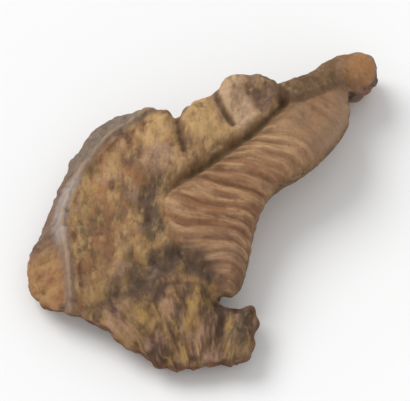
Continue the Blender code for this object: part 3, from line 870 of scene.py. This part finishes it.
def note_anatomy(mesh, anatomy, tubes):
    """Write down what the material needs to know about every point."""
    faces = anatomy.faces
    walls = wall_shares(anatomy)
    upper = smoothstep(-0.4, 0.1, anatomy.level)
    inner = smoothstep(0.15, 0.35, np.where(anatomy.skin_side < 0, anatomy.skin_gap, 0.0))
    # Painted shade along the stem's edge, strongest near two spots.
    junction_shade = bell(anatomy.stem_gap, JUNCTION_SHADE_WIDTH) * spot(anatomy, JUNCTION_SHADE_SPOT)
    fields = {name: spot(anatomy, where) for name, where in SPOTS.items()}
    for name, where in FLESH_SPOTS.items():
        fields[name] = spot(anatomy, where) * anatomy.flesh
    for number, share in enumerate(lobe_shares(anatomy)):
        fields[f"lobe_{number}"] = share
    broad = np.maximum(fields["lilac_sheen_skin"], fields["olive_skin"])
    ridge_width = RIDGE_WIDTH * (1.0 + np.where(anatomy.skin_side > 0, broad, 0.0))
    fields.update({
        "flat": anatomy.points,
        "fibre": along_fibres(anatomy),
        "flow": along_tubes(anatomy, tubes),
        "tube": tubes,
        "tubes": anatomy.tubes,
        "arcs": tube_turn(anatomy.plan)[2],
        "stem": anatomy.stem,
        "margin": anatomy.margin,
        "groove": anatomy.groove,
        "groove_side": bell(anatomy.groove_gap, GROOVE_SIDE_WIDTH) * anatomy.open_groove,
        "skin_line": bell(anatomy.skin_gap, ridge_width) * upper,
        "under_ridge": bell(anatomy.skin_gap - UNDER_RIDGE_GAP, UNDER_RIDGE_WIDTH) * inner * faces,
        "outer_skin": smoothstep(0.2, 0.9, anatomy.beyond_skin) * upper,
        "skin_wall": walls["skin"],
        "pore_wall": walls["pores"],
        "pore_rim": bell(anatomy.edge["pores"], PORE_RIM_WIDTH) * faces,
        "torn_rim": bell(anatomy.edge["torn"], TORN_RIM_WIDTH) * (1.0 - faces),
        "split": bell(anatomy.split_gap, STEM_SPLIT_WIDTH) * anatomy.stem,
        "right_lobe": anatomy.stem * smoothstep(*RIGHT_LOBE_BEGINS, anatomy.plan[:, 0]),
        "creased": anatomy.creased * anatomy.flesh,
        "junction_shade": np.maximum(junction_shade, spot(anatomy, WEDGE_SHADE_SPOT)),
        "arches": knob_arcs(anatomy) * anatomy.stem,
        "hollow": bell(anatomy.hollow_gap, HOLLOW_SHADE_WIDTH) * (1.0 - anatomy.tubes),
    })
    for name, values in fields.items():
        note(mesh, name, values)


def linear(colour):
    """A screen colour as the renderer's linear colour."""
    parts = np.array(colour) / 255.0
    parts = np.where(parts <= 0.04045, parts / 12.92, ((parts + 0.055) / 1.055) ** 2.4)
    return (*parts, 1.0)


class Paint:
    """Short calls for the nodes of one material."""

    def __init__(self, name):
        self.material = bpy.data.materials.new(name)
        self.material.use_nodes = True
        self.tree = self.material.node_tree
        self.shader = self.tree.nodes["Principled BSDF"]

    def feed(self, socket, value):
        """Link a socket to another node's output, or set it to a plain value."""
        if isinstance(value, bpy.types.NodeSocket):
            self.tree.links.new(value, socket)
        else:
            socket.default_value = value

    def node(self, kind, inputs, **settings):
        """A new node with its settings made and its inputs fed."""
        node = self.tree.nodes.new(kind)
        for name, value in settings.items():
            setattr(node, name, value)
        for name, value in inputs.items():
            self.feed(node.inputs[name], value)
        return node

    def field(self, name, output="Fac"):
        """A number or a vector kept at every point of the mesh."""
        return self.node("ShaderNodeAttribute", {}, attribute_name=name).outputs[output]

    def stretched(self, vector, scale):
        """A vector scaled along its own axes."""
        inputs = {0: vector, 1: scale}
        return self.node("ShaderNodeVectorMath", inputs, operation="MULTIPLY").outputs[0]

    def reckon(self, operation, first, second=0.0):
        """One step of arithmetic."""
        return self.node("ShaderNodeMath", {0: first, 1: second}, operation=operation).outputs[0]

    def times(self, *factors):
        """The product of numbers."""
        product = factors[0]
        for factor in factors[1:]:
            product = self.reckon("MULTIPLY", product, factor)
        return product

    def less(self, value, share):
        """1, less a share of a number."""
        return self.reckon("SUBTRACT", 1.0, self.times(value, share))

    def rise(self, value, low, high, most=1.0):
        """From 0 at low to most at high, smoothly."""
        inputs = {"Value": value, "From Min": low, "From Max": high, "To Max": most}
        node = self.node("ShaderNodeMapRange", inputs, interpolation_type="SMOOTHSTEP")
        return node.outputs["Result"]

    def near(self, name, low, high, most=1.0):
        """A number kept on the mesh, made to rise from 0 to most."""
        return self.rise(self.field(name), low, high, most)

    def grain(self, vector, size, detail, seed):
        """Noise around 0.5, with lumps of about the given size in millimetres."""
        inputs = {"Vector": vector, "W": seed, "Scale": 1.0 / size, "Detail": detail, "Roughness": 0.6}
        return self.node("ShaderNodeTexNoise", inputs, noise_dimensions="4D").outputs["Fac"]

    def patches(self, vector, size, seed, over=0.5, soft=0.08, most=1.0):
        """Irregular patches, where the noise is over a level."""
        return self.rise(self.grain(vector, size, 3.0, seed), over - soft, over + soft, most)

    def blended(self, kind, share, first, second):
        """Two colours blended: none of the second at 0, all of it at 1."""
        inputs = {0: share, 6: first, 7: second}
        return self.node("ShaderNodeMix", inputs, data_type="RGBA", blend_type=kind).outputs[2]

    def mixed(self, share, *colours):
        """Two colours mixed, each another node's output or a screen colour."""
        first, second = [linear(colour) if isinstance(colour, tuple) else colour for colour in colours]
        return self.blended("MIX", share, first, second)

    def coated(self, colour, *coats):
        """A colour with coats laid over it in turn; each coat is its share and its colour."""
        for share, coat in coats:
            colour = self.mixed(share, colour, coat)
        return colour

    def darkened(self, share, colour, to):
        """A colour brought down to a share of itself."""
        return self.blended("MULTIPLY", share, colour, (to, to, to, 1.0))


def flesh_colour(paint, flat):
    """Flesh streaked up the slice, paler at the crown, with painted shade in the hollow, different in
    each lobe.
    """
    upward = paint.stretched(flat, (1.0, 0.5, 1.0))
    olive = paint.patches(upward, 1.2, 7, over=0.55, most=0.8)
    olive = paint.reckon("MAXIMUM", olive, paint.near("olive_flesh", 0.2, 1.0, 0.4))
    pink = paint.patches(flat, 1.8, 3, over=0.6, most=0.7)
    pink = paint.reckon("MAXIMUM", pink, paint.near("pink_flesh", 0.2, 0.9, 0.75))
    crown = paint.patches(upward, 1.3, 8, over=0.44, soft=0.12)
    crown = paint.times(paint.near("pale_crown", 0.25, 0.8, 0.9), crown)
    colour = paint.coated(
        FLESH,
        (paint.patches(upward, 1.7, 1), FLESH_OCHRE),
        (paint.patches(upward, 1.3, 2, over=0.54, most=0.85), FLESH_ORANGE),
        (olive, FLESH_OLIVE),
        (pink, FLESH_PINK),
        (crown, CROWN),
    )
    patchy = paint.patches(flat, 1.2, 9, over=0.34, soft=0.15)
    for number, lobe in enumerate((FIRST_LOBE, SECOND_LOBE, THIRD_LOBE)):
        share = paint.times(paint.near(f"lobe_{number}", 0.0, 1.0, 0.95), patchy)
        colour = paint.mixed(share, colour, lobe)
    right_lobes = paint.reckon("ADD", paint.field("lobe_1"), paint.field("lobe_2"))
    blotches = paint.patches(flat, 1.4, 17, over=0.55, soft=0.1, most=0.5)
    purple = paint.patches(upward, 0.9, 10, over=0.42, soft=0.12)
    purple = paint.times(paint.near("purple_streak", 0.3, 0.8, 0.85), purple)
    streaks = paint.patches(upward, 0.9, 4, over=0.57, most=0.5)
    return paint.coated(
        colour,
        (paint.times(blotches, right_lobes), FLESH_PINK),
        # Painted shade: grey brown laid into the hollow.
        (paint.near("hollow", 0.25, 0.9, 0.85), HOLLOW_SHADE),
        (paint.reckon("MAXIMUM", purple, streaks), FLESH_STREAK),
        (paint.patches(flat, 1.3, 5, over=0.64, soft=0.06, most=0.6), FLESH_SPOT),
        (paint.patches(upward, 1.0, 6, over=0.57, most=0.6), FLESH_SPECK),
    )


def tube_colour(paint, flat):
    """Tan tubes with dark red-brown lines between them, painted shade in the gaps between the ribs and
    a painted highlight on the pores' rim, greyer and smoother at the margin.
    """
    flow = paint.stretched(paint.field("flow", "Vector"), (1.0, TUBE_STRETCH, 0.6))
    wave = paint.reckon("COSINE", paint.times(paint.field("tube"), 2 * math.pi))
    arcs = paint.field("arcs")
    calm = paint.less(arcs, 0.75)
    light = paint.patches(flow, 1.6, 11, most=0.5)
    light = paint.reckon("MAXIMUM", light, paint.near("pale_tubes", 0.2, 0.9, 0.75))
    grey = paint.patches(flat, 2.2, 16, over=0.44, soft=0.12)
    gaps = paint.times(paint.rise(wave, 0.1, -0.95), paint.patches(flow, 1.4, 14, over=0.54))
    gap_colour = paint.mixed(paint.near("red_lines", 0.3, 0.9), TUBE_GAP, TUBE_RED)
    # Deepest part of the gaps between the ribs, where painted shade darkens the tubes below.
    lines = paint.times(paint.rise(wave, -0.7, -0.97), paint.patches(flow, 1.8, 18))
    colour = paint.coated(
        TUBE,
        (light, TUBE_LIGHT),
        (paint.times(paint.rise(arcs, 0.2, 1.0, 0.85), grey), TUBE_GREY),
        (paint.near("tube_foot", 0.15, 0.9, 0.85), TUBE_LOW),
        (paint.times(paint.patches(flow, 0.8, 12, over=0.55, most=0.65), calm), TUBE_STREAK),
        (paint.times(paint.patches(flow, 0.6, 13, over=0.57, most=0.5), calm), TUBE_GAP),
        (paint.times(gaps, calm, 0.6), gap_colour),
    )
    return paint.coated(
        paint.darkened(paint.times(lines, calm, 0.6), colour, 0.7),
        (paint.patches(flat, 1.1, 15, over=0.63, most=0.55), TUBE_GAP),
        # Painted highlight on the rim of the pores, towards the margin.
        (paint.times(paint.field("pore_rim"), arcs, 0.7), TUBE_RIM_HIGHLIGHT),
    )


def stem_colour(paint, flat):
    """Fibrous stem: olive and tan streaks, pinkish in places, dark on the right lobe; painted
    highlight on the folds over its top, painted shade between them and in its split.
    """
    upright = paint.stretched(flat, (1.0, 0.6, 1.0))
    fibre = paint.stretched(paint.field("fibre", "Vector"), (1.0, 0.6, 1.0))
    right_lobe = paint.patches(upright, 1.3, 27, over=0.46, soft=0.1)
    arch_highlight_patches = paint.patches(flat, 1.3, 26, over=0.45, soft=0.15)
    return paint.coated(
        STEM_DARK,
        (paint.patches(fibre, 1.2, 21, soft=0.12), STEM_LIGHT),
        (paint.patches(upright, 2.0, 22, over=0.53, soft=0.1, most=0.8), STEM_OCHRE),
        (paint.patches(upright, 1.7, 23, over=0.57, soft=0.1, most=0.7), STEM_PINK),
        (paint.times(paint.field("right_lobe"), right_lobe, 0.85), STEM_LOBE),
        # Painted highlight on the folds over the stem's top, painted shade between them.
        (paint.times(paint.near("arches", 0.1, 0.8, 0.5), arch_highlight_patches), ARCH_HIGHLIGHT),
        (paint.near("arches", -0.1, -0.7, 0.6), ARCH_SHADE),
        (paint.patches(fibre, 0.7, 24, over=0.57, most=0.75), STEM_SPLINTER_AND_SHADE),
        (paint.patches(fibre, 0.35, 28, over=0.6, most=0.25), FLESH_SPECK),
        # Painted shade in the stem's split.
        (paint.near("split", 0.1, 0.9, 0.6), STEM_SPLINTER_AND_SHADE),
        (paint.patches(upright, 1.5, 25, over=0.57, most=0.75), STEM_SPLINTER_AND_SHADE),
    )


def skin_colour(paint, flat):
    """Cap skin: brown with a grey bloom, tan by the ridge, orange at one tip, reddish at the other."""
    on_top = paint.times(paint.field("outer_skin"), paint.less(paint.field("skin_wall"), 0.75))
    mottled = paint.coated(
        SKIN_GREY,
        (paint.patches(flat, 1.1, 36, soft=0.12), SKIN_BLOOM),
        (paint.patches(flat, 0.9, 37, over=0.54, most=0.7), SKIN_BROWN),
    )
    tip = paint.coated(
        SKIN_ORANGE,
        (paint.patches(flat, 1.8, 34, soft=0.12), SKIN_YELLOW),
        (paint.patches(flat, 1.6, 35, over=0.56, soft=0.1, most=0.8), SKIN_RED),
    )
    red_patches = paint.patches(flat, 1.6, 38, soft=0.15)
    return paint.coated(
        SKIN_DARK,
        (paint.patches(flat, 2.0, 31), SKIN_BROWN),
        (paint.patches(flat, 1.1, 32, over=0.56, most=0.6), SKIN_BLOOM),
        (paint.times(on_top, 0.85), SKIN_TAN),
        (paint.times(paint.near("olive_skin", 0.1, 0.5, 0.85), on_top), mottled),
        (paint.near("skin_tip", 0.2, 0.8), tip),
        (paint.times(paint.near("margin_tip", 0.2, 0.9, 0.7), red_patches), SKIN_RED),
        (paint.patches(flat, 0.85, 33, over=0.61, most=0.5), SKIN_SPOT),
    )


def ridge_colour(paint, flat):
    """Cut edge of the skin: lilac grey with a painted sheen strongest near its middle, olive grey at
    its far end, tan at its near end.
    """
    return paint.coated(
        RIDGE_TAN,
        # Lilac grey with a painted sheen, strongest near the middle of the cut edge.
        (paint.near("lilac_sheen_skin", 0.1, 0.8), RIDGE_LILAC_SHEEN),
        (paint.near("olive_skin", 0.1, 0.7), RIDGE_OLIVE),
        (paint.patches(flat, 1.0, 61, over=0.54, most=0.7), RIDGE_TAN),
    )


def margin_colour(paint, flat):
    """Rolled margin: olive brown, orange at its blunt tip."""
    return paint.coated(
        MARGIN_OLIVE,
        (paint.patches(flat, 1.7, 41), MARGIN_LIGHT),
        (paint.near("margin_tip", 0.2, 0.9), MARGIN_ORANGE),
        (paint.patches(flat, 1.2, 42, over=0.56, most=0.35), FLESH_PINK),
        (paint.patches(flat, 0.9, 43, over=0.6, most=0.6), FLESH_STREAK),
    )


def pore_colour(paint, flat):
    """Tube mouths at the edge: olive brown."""
    return paint.mixed(paint.patches(flat, 1.4, 51), PORE, PORE_LIGHT)


def cut_face_colour(paint, flat):
    """The regions of the cut face, from the flesh outwards, with painted shade in the groove, the lobe
    creases and along the stem's edge.
    """
    patchy = paint.patches(flat, 1.5, 52, over=0.44, soft=0.18)
    return paint.coated(
        flesh_colour(paint, flat),
        (paint.field("tubes"), tube_colour(paint, flat)),
        # Painted shade in and beside the groove.
        (paint.near("groove_side", 0.2, 0.85, 0.75), GROOVE_SIDE_SHADE),
        (paint.near("groove", 0.3, 1.0, 0.6), GROOVE_OLIVE_SHADE),
        # Painted shade in the lobe creases.
        (paint.near("creased", 0.2, 1.0, 0.8), CREASE_SHADE),
        (paint.field("pore_wall"), pore_colour(paint, flat)),
        (paint.near("stem", 0.2, 0.8), stem_colour(paint, flat)),
        # Painted shade along the stem's edge.
        (paint.times(paint.near("junction_shade", 0.1, 0.75, 0.95), patchy), JUNCTION_SHADE),
        (paint.field("margin"), margin_colour(paint, flat)),
    )


def whole_colour(paint, flat):
    """Cut face, skin and edges put together, darkened by dark specks, with painted shade in pits and
    valleys and a painted highlight on the high points of the relief.
    """
    wall = paint.field("skin_wall")
    skin = skin_colour(paint, flat)
    ragged = paint.times(paint.patches(flat, 1.6, 56, soft=0.2), 0.35)
    ridge = paint.times(paint.near("skin_line", 0.2, 0.8, 0.88), paint.less(wall, 0.6))
    colour = paint.coated(
        cut_face_colour(paint, flat),
        (paint.times(paint.field("under_ridge"), paint.patches(flat, 1.6, 53), 0.8), UNDER_RIDGE),
        (paint.rise(paint.reckon("SUBTRACT", wall, ragged), 0.0, 0.6), skin),
        (paint.near("outer_skin", 0.1, 0.8), skin),
        (ridge, ridge_colour(paint, flat)),
        (paint.times(paint.field("torn_rim"), 0.7), TORN_RIM),
    )
    specks = paint.patches(flat, 0.4, 54, over=0.57, most=0.5)
    # Painted shade: darker in the pits and broad valleys of the relief, less so in the groove.
    pits = paint.times(paint.near("pit", 0.0, 0.09), paint.less(paint.field("groove"), 0.7))
    valleys = paint.near("valley", 0.02, 0.4)
    for share, shade in ((specks, 0.74), (pits, 0.62), (valleys, 0.8)):
        colour = paint.darkened(share, colour, shade)
    # Painted highlight: a pale colour mixed in where the relief stands above its surroundings.
    return paint.mixed(paint.near("pit", -0.01, -0.07, 0.2), colour, HIGH_POINT_HIGHLIGHT)


def mushroom_material():
    """Dried mushroom: matte flesh, slightly glossy skin, fine grain; placed on the flat slice."""
    paint = Paint("dried_mushroom")
    flat = paint.field("flat", "Vector")
    paint.feed(paint.shader.inputs["Base Color"], whole_colour(paint, flat))
    skin = paint.reckon("MAXIMUM", paint.field("skin_wall"), paint.field("outer_skin"))
    dull = paint.rise(paint.grain(flat, 0.7, 3.0, 71), 0.3, 0.7, ROUGHNESS_RISE)
    dull = paint.reckon("ADD", dull, ROUGHNESS)
    rough = paint.reckon("SUBTRACT", dull, paint.times(skin, SKIN_GLOSS))
    paint.feed(paint.shader.inputs["Roughness"], rough)
    paint.shader.inputs["Specular IOR Level"].default_value = SPECULAR
    fine = paint.grain(flat, FINE_GRAIN, 4.0, 72)
    height = paint.reckon("ADD", fine, paint.grain(flat, COARSE_GRAIN, 2.0, 73))
    inputs = {"Strength": GRAIN_STRENGTH, "Distance": GRAIN_DEPTH * MM, "Height": height}
    bump = paint.node("ShaderNodeBump", inputs)
    paint.feed(paint.shader.inputs["Normal"], bump.outputs["Normal"])
    return paint.material


def mushroom_slice():
    """The slice as one fine mesh, in the place of its solid."""
    mesh = flat_blank()
    anatomy = Anatomy(coordinates(mesh))
    tubes = tube_waves(anatomy)
    move_to(mesh, lay_down(bend(raise_relief(anatomy), anatomy), anatomy))
    calm_under_edge(mesh, anatomy)
    move_to(mesh, coordinates(mesh) + normals(mesh) * fine_relief(anatomy, tubes)[:, None])
    note_anatomy(mesh, anatomy, tubes)
    note(mesh, "pit", hollowness(mesh, PIT_PASSES))
    note(mesh, "valley", hollowness(mesh, VALLEY_PASSES))
    move_to(mesh, fitted(coordinates(mesh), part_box(NODE)))
    mesh.name = PIECE
    mesh.materials.clear()
    mesh.materials.append(mushroom_material())
    mesh.shade_smooth()
    piece = bpy.data.objects.new(PIECE, mesh)
    bpy.context.collection.objects.link(piece)
    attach(piece, "root")
    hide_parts(NODE)


def floor():
    """A plain pale floor."""
    bpy.ops.mesh.primitive_plane_add(size=FLOOR_SIZE)
    plane = bpy.context.active_object
    plane.name = "floor"
    paint = Paint("pale_floor")
    paint.shader.inputs["Base Color"].default_value = (FLOOR_SHADE, FLOOR_SHADE, FLOOR_SHADE, 1.0)
    paint.shader.inputs["Roughness"].default_value = FLOOR_ROUGHNESS
    paint.shader.inputs["Specular IOR Level"].default_value = FLOOR_SPECULAR
    plane.data.materials.append(paint.material)


def studio_light():
    """Soft light from the upper left, and a bright plain surround."""
    sun = bpy.data.lights.new("key", "SUN")
    sun.energy = SUN_STRENGTH
    sun.angle = math.radians(SUN_ANGLE)
    key = bpy.data.objects.new("key", sun)
    key.rotation_euler = Vector(SUN_DIRECTION).to_track_quat("Z", "Y").to_euler()
    bpy.context.collection.objects.link(key)
    world = bpy.data.worlds.new("surround")
    world.use_nodes = True
    background = world.node_tree.nodes["Background"]
    background.inputs["Color"].default_value = (1.0, 1.0, 1.0, 1.0)
    background.inputs["Strength"].default_value = SKY_STRENGTH
    bpy.context.scene.world = world
    bpy.context.scene.view_settings.view_transform = "Standard"


def camera():
    """The photograph's viewing angle, close enough that the slice fills the frame."""
    low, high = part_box(NODE)
    target = (Vector(low) + Vector(high)) / 2
    tilt = math.radians(ELEVATION)
    distance = FRAME_WIDTH * LENS / SENSOR * MM
    lens = bpy.data.cameras.new("camera")
    lens.lens = LENS
    lens.sensor_width = SENSOR
    lens.clip_start = NEAREST_SEEN * MM
    item = bpy.data.objects.new("camera", lens)
    item.location = target + distance * Vector((0.0, -math.cos(tilt), math.sin(tilt)))
    item.rotation_euler = (math.radians(90.0) - tilt, 0.0, 0.0)
    bpy.context.collection.objects.link(item)
    bpy.context.scene.camera = item


mushroom_slice()
floor()
studio_light()
camera()
